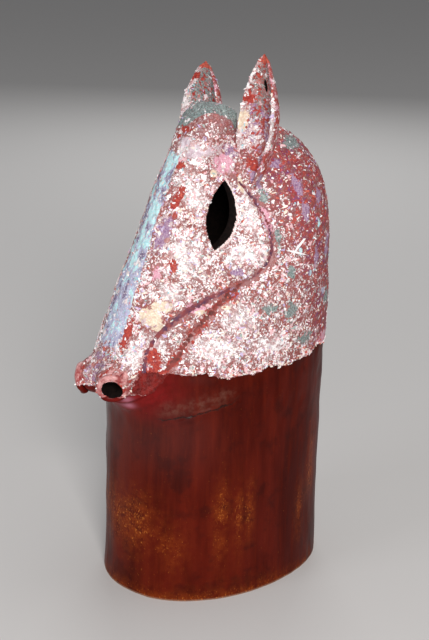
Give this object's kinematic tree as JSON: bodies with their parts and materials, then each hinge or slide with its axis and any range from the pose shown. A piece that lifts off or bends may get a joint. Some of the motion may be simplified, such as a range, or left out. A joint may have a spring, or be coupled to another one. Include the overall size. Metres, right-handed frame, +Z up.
{
  "type": "horse head sculpture",
  "caption": "Hollow ceramic horse head on its own oval neck, open below, with cut-out eyes, coiled nostrils and leaf-shaped ears.",
  "frame": {"origin": "on the floor, under the middle of the piece's outline seen from above", "axes": "+Z up, -Y the way the muzzle points, +X the horse's left"},
  "size_m": [0.1816, 0.2737, 0.531],
  "materials": {
    "glazed_ceramic": "dark red-brown glaze on the neck, thick red painted coat with light glittering flakes on the head"
  },
  "bodies": {
    "root": {"horse_head": "glazed_ceramic"}
  },
  "joints": []
}
